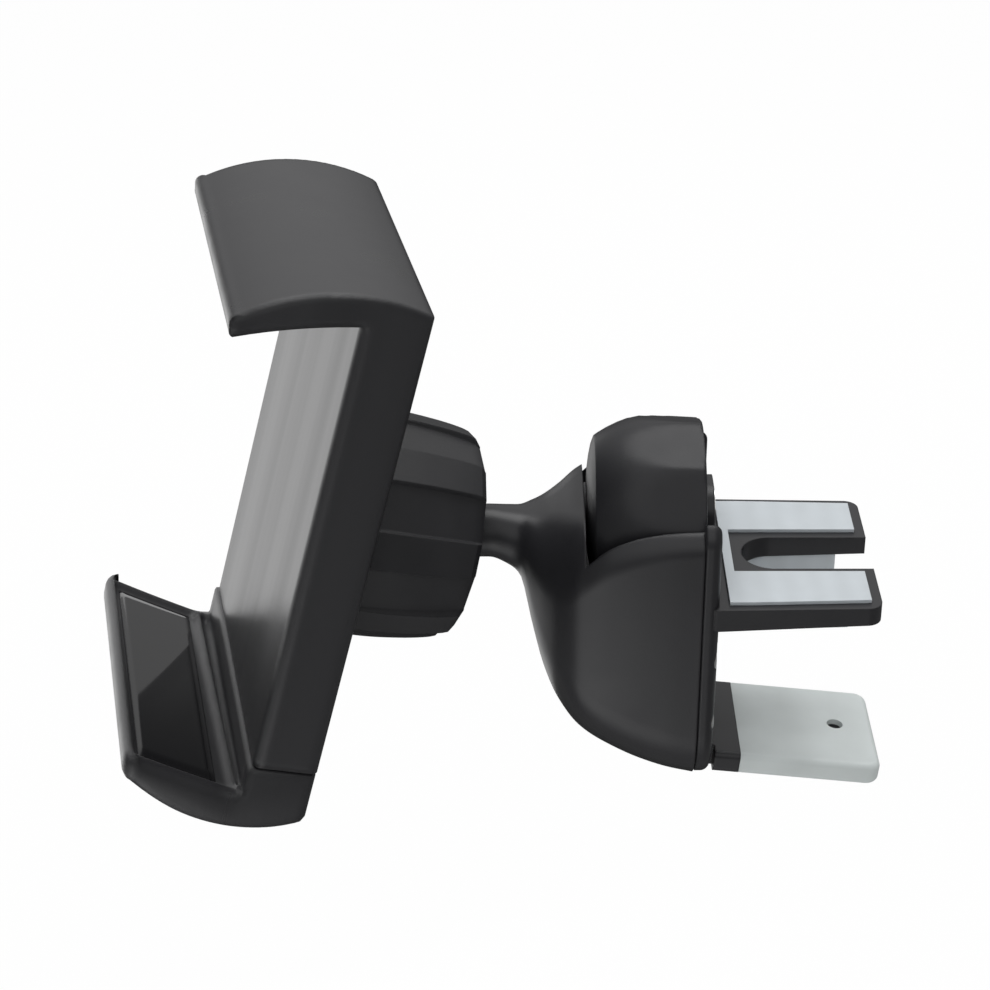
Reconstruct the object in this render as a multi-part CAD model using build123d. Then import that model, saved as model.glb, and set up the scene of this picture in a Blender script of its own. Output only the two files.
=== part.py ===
from build123d import *
import math
import os

# Air vent phone holder: a sprung phone cradle on a ball joint, carried by a
# bell-shaped housing that clamps one blade of a car's air vent.
# Millimetres. +X points into the vent, +Z is up, and the origin lies on the
# fork's rubber pad, on the centre line. The cradle is drawn upright in its
# own frame (front face at x = 0, phone towards -x) and then set on the ball.

# Fork and its rear plate
fork_width = 25.2
fork_thick = 2.7
fork_tip_thick = 2.1
fork_reach = 15.9
fork_slot_width = 7.0
fork_slot_start = 1.3
fork_corner = 1.6
fork_taper = 0.5
fork_pad_border = 1.2
fork_pad_rise = 0.4
fork_pad_seat = 0.3
lower_pad_thick = 1.8
lower_pad_reach = 12.6
lower_pad_border = 0.3
lower_pad_inset = 3.4
plate_rear = -2.1
plate_thick = 1.9
plate_edge = 1.0
plate_seam = 0.25
plate_ear_rise = 1.0
bulge_rear = -1.9
bulge_bottom = -25.4
tongue_half_width = 4.0
tongue_top = 9.0
tongue_front = -3.45
tongue_rear = -2.3
land_bottom = -3.0

# Housing, with the neck and the ball in one moulding
housing_half_width = 12.6
housing_top = 8.7
housing_bottom = -26.1
housing_corner_top = 2.5
housing_corner_bottom = 9.0
neck_end = -27.4
neck_height = 2.6
neck_radius = 3.0
neck_round = 0.88
ball_radius = 6.0
ball_x = -34.4
core_half_width = 6.5
core_wall = 2.6
ear_wall = 1.7
plate_screw_inset = 2.0
rail_inner = 6.7
rail_outer = 8.6
rail_top = -6.0
rail_bottom = -23.0

# Knob and its clamp screw
knob_axis_z = 5.7
knob_face_radius = 8.5
knob_front = -16.4
knob_rear = -3.6
knob_gap = 0.5
knob_relief_radius = 5.4
knob_relief_depth = 0.4
knob_flats = 9
knob_flat_depth = 0.7
knob_flat_lean = 0.06
knob_flat_turn = 88.5
insert_radius = 3.0
insert_length = 6.0
screw_radius = 1.5
screw_head_radius = 2.3
screw_head_thick = 0.7
screw_head_proud = 0.2
screw_socket_radius = 1.0
screw_tip_radius = 0.9
screw_tip_length = 1.0
washer_radius = 2.7
washer_thick = 0.6
running_gap = 0.06

# Sliding vent jaw
jaw_travel = 16.0
carriage_half_width = 8.7
carriage_front = -3.4
carriage_thick = 0.9
carriage_bottom = -24.9
carriage_top = -1.0
carriage_corner = 5.5
tab_width = 15.8
tab_neck_half = 6.2
tab_reach = 18.2
tab_thick = 1.3
tab_root_thick = 2.7
tab_top_at_root = -22.65
tab_slope = 6.0
sleeve_wall = 0.7
sleeve_start = 1.7
sleeve_hole_radius = 0.95
sleeve_hole_inset = 4.6
sleeve_hole_side = 0.4
slide_gap = 0.1
tab_clear = 0.6

# Cradle
cradle_half_width = 20.5
cradle_thick = 7.2
cradle_seam = -23.7
cradle_bottom = -30.2
cradle_corner = 0.9
jaw_side_round = 0.4
cradle_wall = 1.6
upper_reach = 13.0
upper_inner = (28.2, 26.8, 25.0)
upper_outer = (30.4, 0.8, 27.4)
lower_reach = 13.7
lower_inner = (27.6, 25.8, 24.2)
lower_outer = (30.2, 1.4, 27.4)
pad_seat_depth = 0.9
pad_sink = 0.25
pad_border = 2.6
cover_thick = 1.4
slider_inset = 7.1
slider_thick = 1.5
slider_top = 11.0
slider_gap = 0.2
boss_radius = 2.1
boss_inset = 4.2
boss_z_top = 24.4
boss_z_bottom = -19.6
small_screw_radius = 0.8
small_head_radius = 1.5
small_head_thick = 0.9
small_screw_length = 5.0
small_drive_reach = 0.9
small_drive_width = 0.4
small_drive_depth = 0.4
hole_gap = 0.1
spring_inset = 10.9
spring_radius = 1.1
spring_bore = 0.5
spring_coils = 14
spring_pitch = 1.0

# Ball socket and its locking collar
ball_axis_depth = 17.8
ball_axis_drop = -2.6
socket_radius = 9.3
socket_flange_radius = 11.2
socket_flange_thick = 1.5
socket_screw_circle = 6.4
socket_screw_bite = 2.8
socket_lip = 2.2
socket_slits = 4
socket_slit_width = 0.9
pad_shell = 0.55
shell_gap = 0.05
pad_cap_angle = 38.0
cap_angle = 42.0
collar_front_radius = 13.0
collar_back_radius = 10.8
collar_length = 12.4
collar_overhang = 3.6
collar_mouth = 6.8
collar_ribs = 9
rib_width = 4.0
rib_rise = 0.6
rib_round = 0.5
rib_phase = 36.5

# How the cradle stands on the ball in the modelled pose
cradle_yaw = 10.3
cradle_tilt = 14.85
cradle_spin = -1.95

# Shape of the bell, as shares: how far from the neck's end to the rear plate,
# half width, top and bottom measured from the neck's axis, upper and lower
# corner radius as shares of the half width there
bell_shape = [
    (0.094, 0.272, 0.459, 0.132, 0.88, 0.88),
    (0.150, 0.317, 0.443, 0.174, 0.88, 0.88),
    (0.179, 0.389, 0.443, 0.240, 0.88, 0.88),
    (0.214, 0.500, 0.459, 0.390, 0.87, 0.87),
    (0.265, 0.651, 0.500, 0.551, 0.86, 0.86),
    (0.333, 0.802, 0.607, 0.683, 0.84, 0.84),
    (0.436, 0.937, 0.779, 0.794, 0.74, 0.78),
    (0.573, 0.976, 0.902, 0.868, 0.55, 0.74),
    (0.744, 0.992, 0.975, 0.936, 0.38, 0.73),
    (0.889, 0.998, 0.997, 0.976, 0.26, 0.72),
]
core_line = [(0.0, 3.7), (8.0, 6.4), (12.2, 9.7)]

# Derived places
ear_inner = housing_half_width - 1.6
bulge_half_width = housing_half_width - 2.3
knob_radius = housing_half_width - ear_wall - knob_gap
boss_y = cradle_half_width - boss_inset
spring_y = cradle_half_width - spring_inset
slider_half_width = cradle_half_width - slider_inset
plate_front = plate_rear - plate_thick
fork_top = -fork_pad_rise
fork_bottom = fork_top - fork_thick
carriage_rear = carriage_front + carriage_thick
screw_seat = tongue_rear + screw_head_proud - screw_head_thick
interior_rear = cradle_thick - cover_thick
slider_front = cradle_wall + slider_gap
slider_rear = slider_front + slider_thick
ball_centre = Vector(ball_x, 0, neck_height)
ball_seat = Vector(ball_axis_depth, 0, ball_axis_drop)
turn = Rot(0, 0, cradle_yaw) * Rot(0, cradle_tilt, 0) * Rot(cradle_spin, 0, 0)
cradle_place = Pos(ball_centre) * turn * Pos(-ball_seat)


def x_cylinder(radius, x0, x1, y=0.0, z=0.0):
    """Round bar along X between two stations."""
    bar = Cylinder(radius, x1 - x0, rotation=(0, 90, 0))
    return Pos((x0 + x1) / 2, y, z) * bar


def block(x0, x1, y0, y1, z0, z1):
    """Box between two corners."""
    body = Box(x1 - x0, y1 - y0, z1 - z0)
    return Pos((x0 + x1) / 2, (y0 + y1) / 2, (z0 + z1) / 2) * body


def section(x, half_width, top, bottom, corner_top, corner_bottom):
    """Upright rounded outline across the housing at station x."""
    w, rt, rb = half_width, corner_top, corner_bottom
    k = math.sqrt(0.5)
    outline = [
        Line((-w + rb, bottom), (w - rb, bottom)),
        ThreePointArc((w - rb, bottom), (w - rb + rb * k, bottom + rb - rb * k), (w, bottom + rb)),
        Line((w, bottom + rb), (w, top - rt)),
        ThreePointArc((w, top - rt), (w - rt + rt * k, top - rt + rt * k), (w - rt, top)),
        Line((w - rt, top), (-w + rt, top)),
        ThreePointArc((-w + rt, top), (-w + rt - rt * k, top - rt + rt * k), (-w, top - rt)),
        Line((-w, top - rt), (-w, bottom + rb)),
        ThreePointArc((-w, bottom + rb), (-w + rb - rb * k, bottom + rb - rb * k), (-w + rb, bottom)),
    ]
    plane = Plane(origin=(x, 0, 0), x_dir=(0, 1, 0), z_dir=(1, 0, 0))
    return plane * make_face(outline)


def bell_sections():
    """Outlines of the bell, from the end of the neck to the rear face."""
    n, r = neck_height, neck_radius
    length = plate_front - neck_end
    outlines = [section(neck_end, r, n + r, n - r, neck_round * r, neck_round * r)]
    for along, wide, high, low, upper, lower in bell_shape:
        w = wide * housing_half_width
        top = n + high * (housing_top - n)
        bottom = n + low * (housing_bottom - n)
        outlines.append(section(neck_end + along * length, w, top, bottom, upper * w, lower * w))
    outlines.append(section(plate_front, housing_half_width, housing_top, housing_bottom,
                            housing_corner_top, housing_corner_bottom))
    return outlines


def knob_pocket():
    """Round pocket for the knob, open at the top of the housing."""
    r = knob_radius + knob_gap
    x0 = knob_front - washer_thick - 0.05
    round_part = x_cylinder(r, x0, plate_front + 1, 0, knob_axis_z)
    return round_part + block(x0, plate_front + 1, -r, r, knob_axis_z, housing_top + r)


def plate_screw_places():
    y = housing_half_width - plate_screw_inset
    upper = fork_bottom - 3 * small_head_radius
    lower = housing_bottom + housing_corner_bottom + small_head_radius
    return [(side * y, z) for side in (-1, 1) for z in (upper, lower)]


def housing_core():
    """Room inside the bell below the knob, open at the rear face."""
    top = knob_axis_z - knob_radius - knob_gap - core_wall
    low = [(plate_front - x, housing_bottom + z) for x, z in core_line]
    ends = [(low[-1][0], top), (plate_front + 1, top), (plate_front + 1, low[0][1])]
    core = side_extrude(make_face(Polyline(*low, *ends, close=True)), core_half_width)
    return fillet(core.edges().filter_by(Axis.X), 1.5)


def make_housing():
    outlines = bell_sections()
    body = loft(outlines[1:]) + loft(outlines[:2]) + extrude(outlines[0], ball_x - neck_end)
    body += Pos(ball_centre) * Sphere(ball_radius)
    body -= knob_pocket()
    body -= housing_core()
    tip_end = knob_front - washer_thick - 0.05 - screw_tip_length - 0.3
    body -= x_cylinder(screw_tip_radius + running_gap, tip_end, plate_front, 0, knob_axis_z)
    for y, z in plate_screw_places():
        body -= x_cylinder(small_screw_radius, plate_front - small_screw_length, plate_front, y, z)
    for y0, y1 in ((-rail_outer, -rail_inner), (rail_inner, rail_outer)):
        body += block(plate_front - 0.5, carriage_front - slide_gap, y0, y1, rail_bottom, rail_top)
    return body


def make_rear_fork():
    """Rear plate and two-pronged fork in one moulding."""
    plate_top = housing_top + plate_ear_rise
    plate_face = section(plate_front, housing_half_width - 0.1, plate_top, housing_bottom + 0.1,
                         housing_corner_top, housing_corner_bottom)
    plate = extrude(plate_face, plate_thick)
    plate = fillet(plate.faces().sort_by(Axis.X)[-1].edges(), plate_edge)
    plate = chamfer(plate.faces().sort_by(Axis.X)[0].edges(), plate_seam)
    for y0, y1 in ((-ear_inner, -tongue_half_width), (tongue_half_width, ear_inner)):
        plate -= block(plate_front - 1, plate_rear + 1, y0, y1, fork_top, plate_top + 1)
    upright = block(plate_front - 1, plate_rear + 1, -tongue_half_width, tongue_half_width, fork_top, plate_top + 1)
    body = plate - upright + fork_blank() + plate_bulge() - carriage_channel() + plate_tongue()
    body -= fork_slot()
    body -= x_cylinder(knob_radius + knob_gap, plate_front - 1, tongue_front, 0, knob_axis_z)
    body -= x_cylinder(screw_radius + running_gap, plate_front - 1, plate_rear + 1, 0, knob_axis_z)
    body -= x_cylinder(screw_head_radius + hole_gap, screw_seat, bulge_rear + 1, 0, knob_axis_z)
    for y, z in plate_screw_places():
        body -= x_cylinder(small_screw_radius + 0.15, plate_front - 1, bulge_rear + 1, y, z)
        body -= x_cylinder(small_head_radius + hole_gap, plate_rear - small_head_thick, bulge_rear + 1, y, z)
    body -= fork_pad_upper_solid()
    return body


def plate_bulge():
    """Raised middle of the rear plate, over the channel of the sliding jaw."""
    body = block(plate_rear - 0.7, bulge_rear, -bulge_half_width, bulge_half_width, bulge_bottom, fork_bottom + 0.5)
    body = fillet(body.edges().filter_by(Axis.X).sort_by(Axis.Z)[:2], housing_corner_bottom - 2)
    return fillet(body.faces().sort_by(Axis.X)[-1].edges().sort_by(Axis.Z)[:-1], 0.45)


def plate_tongue():
    """Thin upright tongue that holds the clamp screw, and the land it grows from."""
    y = tongue_half_width
    body = block(tongue_front, tongue_rear, -y, y, land_bottom, tongue_top)
    body = fillet(body.edges().filter_by(Axis.X).sort_by(Axis.Z)[-2:], y - 0.6)
    return body + block(tongue_front, bulge_rear, -y, y, land_bottom, fork_top)


def fork_blank():
    half = fork_width / 2
    tip = half - fork_taper
    outline = Polyline((plate_rear - 0.5, -half), (fork_reach, -tip), (fork_reach, tip),
                       (plate_rear - 0.5, half), close=True)
    blank = Pos(0, 0, fork_top) * extrude(make_face(outline), -fork_thick)
    corners = blank.edges().filter_by(Axis.Z).sort_by(Axis.X)[-2:]
    blank = fillet(corners, fork_corner)
    under = Polyline((bulge_rear, fork_bottom), (fork_reach + 1, fork_bottom),
                     (fork_reach + 1, fork_top - fork_tip_thick), close=True)
    return blank - side_extrude(make_face(under), fork_width)


def fork_slot():
    """Slot between the two prongs, with a round closed end."""
    r = fork_slot_width / 2
    x0 = fork_slot_start + r
    straight = block(x0, fork_reach + 1, -r, r, fork_bottom - 1, fork_top + 1)
    return straight + Pos(x0, 0, fork_bottom + fork_thick / 2) * Cylinder(r, fork_thick + 2)


def carriage_channel():
    """Room in the rear plate for the sliding carriage, its two arms and its tab."""
    half = carriage_half_width + slide_gap
    x0, x1 = plate_front - 1, carriage_rear + slide_gap
    pocket = block(x0, x1, -half, half, housing_bottom - 1, fork_top + 0.1)
    neck_half = tab_neck_half + 0.3
    window_top = tab_top_at_root + jaw_travel + 0.4
    window = block(x0, bulge_rear + 1, -neck_half, neck_half, housing_bottom - 1, window_top)
    return pocket + window


def pad_outline(sign, border, side_border, x1):
    """Outline of the pad on one prong, clear of the prong's border."""
    inner = fork_slot_width / 2 + border
    outer = fork_width / 2 - side_border
    x0 = fork_slot_start + 0.5
    pts = [(x0, sign * inner), (x1, sign * inner), (x1, sign * (outer - fork_taper)), (x0, sign * outer)]
    return make_face(Polyline(*pts, close=True))


def fork_pad_upper_solid():
    """One rubber pad that covers both prongs and is joined across the root."""
    outer = fork_width / 2 - fork_pad_border
    inner = fork_slot_width / 2 + fork_pad_border
    x1 = fork_reach - fork_pad_border
    root_x = fork_slot_start - fork_pad_border
    low, high = fork_top - fork_pad_seat, 0
    body = block(root_x - 1.0, root_x, -outer, outer, low, high)
    for sign in (-1, 1):
        y0, y1 = sorted((sign * inner, sign * outer))
        body += block(root_x - 0.5, fork_slot_start + 0.7, y0, y1, low, high)
        body += Pos(0, 0, low) * extrude(pad_outline(sign, fork_pad_border, fork_pad_border, x1), high - low)
    return body


def make_fork_pad_lower():
    """Grip pads moulded under the prongs, joined across the root."""
    z0 = fork_bottom - lower_pad_thick
    outer = fork_width / 2 - lower_pad_inset
    top = fork_top - fork_tip_thick
    body = block(bulge_rear + 0.1, fork_slot_start + 0.6, -outer, outer, z0, top)
    for sign in (-1, 1):
        outline = pad_outline(sign, lower_pad_border, lower_pad_inset, lower_pad_reach)
        body += Pos(0, 0, z0) * extrude(outline, top - z0)
    return body - fork_blank()


def small_screw(length):
    """Pan head screw along +X, head at the +X end, seat at x = 0."""
    head = x_cylinder(small_head_radius, 0, small_head_thick)
    head = fillet(head.edges().filter_by(GeomType.CIRCLE).sort_by(Axis.X)[-1], 0.35)
    shank = x_cylinder(small_screw_radius, -length, 0)
    slot = Box(2 * small_drive_depth, 2 * small_drive_reach, small_drive_width)
    drive = Pos(small_head_thick, 0, 0) * (slot + Rot(90, 0, 0) * slot)
    return head + shank - drive


def make_rear_screws():
    seat = plate_rear - small_head_thick
    length = seat - plate_front + small_screw_length
    return [Pos(seat, y, z) * small_screw(length) for y, z in plate_screw_places()]


def knob_profile():
    """Half section of the knob, turned about its own axis."""
    r, face, x0, x1 = knob_radius, knob_face_radius, knob_front, knob_rear
    swell = r - face
    crown = x0 + 7.4
    dome = Spline((x0, face), (x0 + 1.2, face + 0.37 * swell), (x0 + 3.4, face + 0.76 * swell), (crown, r),
                  tangents=[(0.7, 1), (1, 0)])
    edge = [
        dome,
        Line((crown, r), (x1 - 0.5, r)),
        Line((x1 - 0.5, r), (x1, r - 0.6)),
        Line((x1, r - 0.6), (x1, 0)),
        Line((x1, 0), (x0, 0)),
        Line((x0, 0), (x0, face)),
    ]
    return make_face(edge)


def knob_flat_ring(x):
    """Outline that cuts the knob's flats, a little wider towards the front."""
    apothem = knob_radius - knob_flat_depth + (knob_rear - x) * knob_flat_lean
    plane = Plane(origin=(x, 0, 0), x_dir=(0, 1, 0), z_dir=(1, 0, 0))
    return plane * RegularPolygon(apothem, knob_flats, major_radius=False, rotation=knob_flat_turn)


def make_knob():
    body = revolve(Plane.XZ * knob_profile(), Axis.X)
    body &= loft([knob_flat_ring(knob_front - 1), knob_flat_ring(knob_rear + 1)])
    body -= x_cylinder(knob_relief_radius, knob_rear - knob_relief_depth, knob_rear + 1)
    body -= x_cylinder(insert_radius, knob_rear - insert_length, knob_rear + 1)
    body -= x_cylinder(screw_radius + 0.2, knob_front - 1, knob_rear)
    return Pos(0, 0, knob_axis_z) * body


def make_knob_insert():
    body = x_cylinder(insert_radius, knob_rear - insert_length, knob_rear - knob_relief_depth)
    body -= x_cylinder(screw_radius + running_gap, knob_rear - insert_length - 1, knob_rear + 1)
    return Pos(0, 0, knob_axis_z) * body


def make_clamp_screw():
    """Flat-headed screw through the rear plate and the knob, its plain tip in the front wall."""
    tip_start = knob_front - washer_thick - 0.05
    head = x_cylinder(screw_head_radius, screw_seat, screw_seat + screw_head_thick)
    head -= extrude(Plane.YZ.offset(screw_seat + 0.25) * RegularPolygon(screw_socket_radius, 6), 2)
    shank = x_cylinder(screw_radius, tip_start, screw_seat)
    tip = x_cylinder(screw_tip_radius, tip_start - screw_tip_length, tip_start)
    return Pos(0, 0, knob_axis_z) * (head + shank + tip)


def make_knob_washer():
    x0 = knob_front - washer_thick - 0.03
    ring = x_cylinder(washer_radius, x0, knob_front - 0.03)
    ring -= x_cylinder(screw_radius + running_gap, x0 - 1, knob_front + 1)
    return Pos(0, 0, knob_axis_z) * ring


def tab_place():
    """The tab's own frame: its top face starts at the rear plate and slopes down."""
    return Pos(0, 0, tab_top_at_root) * Rot(0, tab_slope, 0)


def rounded_tongue(x0, x1, width, thick, corner, edge):
    """Flat tongue along X with a rounded free end and softened edges, top at z = 0."""
    half = width / 2
    body = block(x0, x1, -half, half, -thick, 0)
    body = fillet(body.edges().filter_by(Axis.Z).sort_by(Axis.X)[-2:], corner)
    rim = body.edges().filter_by(Plane.XY).filter_by(lambda e: e.center().X > x0 + 0.01)
    return fillet(rim, edge)


def make_vent_jaw():
    """Sliding plate with two upright arms, and the tab that goes under the blade."""
    half = carriage_half_width
    carriage = block(carriage_front, carriage_rear, -half, half, carriage_bottom, carriage_top)
    carriage = fillet(carriage.edges().filter_by(Axis.X).sort_by(Axis.Z)[:2], carriage_corner)
    notch = tongue_half_width + slide_gap
    notch_bottom = land_bottom - slide_gap - jaw_travel
    carriage -= block(plate_front - 1, carriage_rear + 1, -notch, notch, notch_bottom, carriage_top + 1)
    core_top = -sleeve_wall
    start = bulge_rear + tab_clear
    core = block(start, tab_reach - sleeve_wall, -tab_width / 2 + sleeve_wall,
                 tab_width / 2 - sleeve_wall, core_top - tab_thick, core_top)
    root = block(start, sleeve_start, -tab_width / 2, tab_width / 2, -tab_root_thick, 0)
    root = fillet(root.edges().filter_by(Axis.X), 0.7)
    neck = block(carriage_rear - 0.2, start + 0.3, -tab_neck_half, tab_neck_half, -tab_root_thick, 0)
    body = carriage + tab_place() * (core + root + neck)
    hole_x = tab_reach - sleeve_hole_inset
    hole = Pos(hole_x, sleeve_hole_side, core_top) * Cylinder(sleeve_hole_radius, 8)
    return body - tab_place() * hole


def make_jaw_sleeve():
    """Silicone sleeve pulled over the tab."""
    thick = tab_thick + 2 * sleeve_wall
    body = rounded_tongue(sleeve_start, tab_reach, tab_width, thick, 1.6, 0.75)
    body -= block(sleeve_start - 1, tab_reach - sleeve_wall, -tab_width / 2 + sleeve_wall,
                  tab_width / 2 - sleeve_wall, -sleeve_wall - tab_thick, -sleeve_wall)
    hole_x = tab_reach - sleeve_hole_inset
    body -= Pos(hole_x, sleeve_hole_side, 0) * Cylinder(sleeve_hole_radius, 3 * thick)
    return tab_place() * body


def jaw_arcs(reach, inner, shift):
    """Inner face of a phone jaw in its side view, sunk by shift."""
    root_z, middle_z, tip_z = inner
    root = (0.0, root_z + shift)
    middle = (-reach * 0.52, middle_z + shift)
    tip = (-reach + 0.6, tip_z + shift)
    return root, middle, tip


def hook_profile(reach, inner, outer):
    """Side view of a phone jaw: arched outside, blunt tip that turns in a little."""
    outer_root, crest_rise, brow_z = outer
    root, middle, tip = jaw_arcs(reach, inner, 0)
    brow = (-reach + 0.8, brow_z)
    nose = (-reach, brow_z - 1.0)
    chin = (-reach + 0.15, tip[1] + 0.6)
    crest = (-reach / 2 + 3.6, outer_root + crest_rise)
    edge = [
        ThreePointArc(root, middle, tip),
        ThreePointArc(tip, (-reach + 0.28, tip[1] + 0.18), chin),
        Line(chin, nose),
        ThreePointArc(nose, (-reach + 0.23, brow_z - 0.3), brow),
        ThreePointArc(brow, crest, (cradle_thick, outer_root)),
        Line((cradle_thick, outer_root), (cradle_thick, root[1])),
        Line((cradle_thick, root[1]), root),
    ]
    return make_face(edge)


def pad_profile(reach, inner, shift_in, shift_out):
    """Side view of the band between two sinkings of the jaw's inner face."""
    a0, a1, a2 = jaw_arcs(reach, inner, shift_in)
    b0, b1, b2 = jaw_arcs(reach, inner, shift_out)
    edge = [
        ThreePointArc(a0, a1, a2),
        Line(a2, b2),
        ThreePointArc(b2, b1, b0),
        Line(b0, a0),
    ]
    inset = Pos(-0.9, 0) * make_face(edge)
    window = Pos(-reach / 2 - 0.6, inner[0]) * Rectangle(reach - 3.4, 12)
    return inset & window


def side_extrude(profile, half_width):
    """Extrude a side view evenly to both sides of the centre plane."""
    return extrude(Plane.XZ * profile, half_width, both=True)


def pad_recess(reach, inner):
    half = cradle_half_width - pad_border
    return side_extrude(pad_profile(reach, inner, -0.5, pad_seat_depth), half)


def jaw_pad(reach, inner):
    half = cradle_half_width - pad_border - 0.05
    return side_extrude(pad_profile(reach, inner, pad_sink, pad_seat_depth), half)


def boss_places():
    return [(y, z) for y in (-boss_y, boss_y) for z in (boss_z_bottom, boss_z_top)]


def frame_shell():
    """Front wall and side walls, open at the back and at the lower end."""
    half = cradle_half_width
    return block(0, cradle_thick, -half, half, cradle_seam, upper_inner[0])


def make_cradle_frame():
    half = cradle_half_width
    body = frame_shell()
    body += side_extrude(hook_profile(upper_reach, upper_inner, upper_outer), half)
    body = fillet(tall_edges(body), cradle_corner)
    body = fillet(jaw_side_edges(body), jaw_side_round)
    inner = half - cradle_wall - 0.3
    body -= block(cradle_wall, cradle_thick + 1, -inner, inner, cradle_seam - 1, upper_inner[0] - 0.6)
    for y, z in boss_places():
        body += x_cylinder(boss_radius, cradle_wall - 0.4, interior_rear, y, z)
    for y, z in boss_places():
        body -= x_cylinder(small_screw_radius, cradle_wall + 0.4, interior_rear + 1, y, z)
    for side in (-1, 1):
        body += x_cylinder(0.6, cradle_wall - 0.4, interior_rear - 0.1, side * spring_y, spring_top() + 0.9)
    body -= pad_recess(upper_reach, upper_inner)
    return body


def tall_edges(body):
    """Upright edges of a cradle moulding, without the short ones at a jaw's nose."""
    return body.edges().filter_by(Axis.Z).filter_by(lambda e: e.length > 2)


def jaw_side_edges(body):
    """Long arched edges where a jaw's outside meets its two sides."""
    half = cradle_half_width
    return body.edges().filter_by(
        lambda e: abs(abs(e.center().Y) - half) < 0.01 and e.length > cradle_thick + 2 and e.center().Z > upper_inner[0])


def make_back_cover():
    inner = cradle_half_width - cradle_wall - 0.4
    top = upper_inner[0] - 0.7
    body = block(interior_rear, cradle_thick, -inner, inner, cradle_seam, top)
    body = fillet(body.edges().filter_by(Axis.X), 1.2)
    for y, z in boss_places():
        body -= x_cylinder(small_screw_radius + 0.15, 0, cradle_thick + 1, y, z)
        body -= x_cylinder(small_head_radius + hole_gap, cradle_thick - small_head_thick, cradle_thick + 1, y, z)
    for y, z in socket_screw_places():
        body -= x_cylinder(small_screw_radius + 0.15, interior_rear - 1, cradle_thick + 1, y, z)
    return body


def make_back_screws():
    seat = cradle_thick - small_head_thick
    length = seat - cradle_wall - 0.6
    return [Pos(seat, y, z) * small_screw(length) for y, z in boss_places()]


def spring_top():
    return 24.0


def spring_bottom():
    return spring_top() - spring_coils * spring_pitch


def make_spring(side):
    """Close-wound pull spring, drawn as its stack of coils."""
    z0 = spring_bottom()
    pts = [(spring_bore, z0)]
    for n in range(spring_coils):
        base = z0 + n * spring_pitch
        pts += [(spring_radius - 0.28, base), (spring_radius, base + spring_pitch / 2)]
    pts += [(spring_radius - 0.28, spring_top()), (spring_bore, spring_top())]
    ring = revolve(Plane.XZ * make_face(Polyline(*pts, close=True)), Axis.Z)
    x = slider_rear + 0.15 + spring_radius
    return Pos(x, side * spring_y, 0) * ring


def make_lower_jaw():
    half = cradle_half_width
    hook = hook_profile(lower_reach, lower_inner, lower_outer)
    body = mirror(side_extrude(hook, half), Plane.XY)
    body += block(-0.35, cradle_thick, -half, half, cradle_bottom + 1.2, cradle_seam - 0.3)
    body = fillet(tall_edges(body), cradle_corner)
    body -= mirror(pad_recess(lower_reach, lower_inner), Plane.XY)
    slider = block(slider_front, slider_rear, -slider_half_width, slider_half_width, cradle_seam - 3, slider_top)
    slider = fillet(slider.edges().filter_by(Axis.X).sort_by(Axis.Z)[-2:], 2.0)
    body += slider
    for side in (-1, 1):
        body += x_cylinder(0.6, slider_rear - 0.4, interior_rear - 0.15, side * spring_y, spring_bottom() - 0.9)
    return body


def socket_screw_places():
    k = math.sqrt(0.5) * socket_screw_circle
    return [(sy * k, ball_axis_drop + sz * k) for sy in (-1, 1) for sz in (-1, 1)]


def ball_cavity():
    """Room inside the cup: the ball's seat behind, the two pads' room in front."""
    pad_room = ball_radius + 2 * pad_shell + 3 * shell_gap
    seat = ball_radius + running_gap
    step_x = 0.6
    mouth_x = socket_lip + 1
    mouth_radius = math.sqrt(ball_radius ** 2 - socket_lip ** 2)
    front_arc = math.sqrt(pad_room ** 2 - step_x ** 2)
    rear_arc = math.sqrt(seat ** 2 - step_x ** 2)
    rear_end = math.sqrt(seat ** 2 - mouth_radius ** 2)
    k = math.sqrt(0.5)
    mid = (step_x + rear_end) / 2
    edge = [
        ThreePointArc((-pad_room, 0), (-pad_room * k, pad_room * k), (step_x, front_arc)),
        Line((step_x, front_arc), (step_x, rear_arc)),
        ThreePointArc((step_x, rear_arc), (mid, math.sqrt(seat ** 2 - mid ** 2)), (rear_end, mouth_radius)),
        Line((rear_end, mouth_radius), (mouth_x, mouth_radius)),
        Line((mouth_x, mouth_radius), (mouth_x, 0)),
        Line((mouth_x, 0), (-pad_room, 0)),
    ]
    return revolve(Plane.XZ * make_face(edge), Axis.X)


def make_ball_socket():
    """Cup with slit fingers that holds the ball, on a round flange."""
    x0 = cradle_thick
    rear = ball_axis_depth + socket_lip
    flange = x_cylinder(socket_flange_radius, x0, x0 + socket_flange_thick)
    cup = x_cylinder(socket_radius, x0, rear)
    cup = chamfer(cup.edges().filter_by(GeomType.CIRCLE).sort_by(Axis.X)[-1], 0.8)
    body = flange + cup
    for y, z in socket_screw_places():
        hole = x_cylinder(small_screw_radius, x0 - 1, x0 + socket_screw_bite, y, z)
        body -= Pos(0, 0, -ball_axis_drop) * hole
    body -= Pos(ball_axis_depth, 0, 0) * ball_cavity()
    for n in range(socket_slits):
        slit = block(x0 + 5.0, rear + 1, -socket_slit_width / 2, socket_slit_width / 2, 3.0, 12.0)
        body -= Rot(45 + n * 360 / socket_slits, 0, 0) * slit
    return Pos(0, 0, ball_axis_drop) * body


def make_socket_screws():
    """Screws driven from inside the cradle, through the cover into the socket."""
    length = cover_thick + socket_screw_bite
    screw = mirror(small_screw(length), Plane.YZ)
    return [Pos(interior_rear, y, z) * screw for y, z in socket_screw_places()]


def shell_cap(inner, outer, angle):
    """Part of a spherical shell about the ball, on the cradle's side."""
    shell = Sphere(outer) - Sphere(inner)
    reach = outer + 2
    cone = Cone(0.001, reach * math.tan(math.radians(angle)), reach, rotation=(0, -90, 0))
    return shell & (Pos(-reach / 2, 0, 0) * cone)


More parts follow.
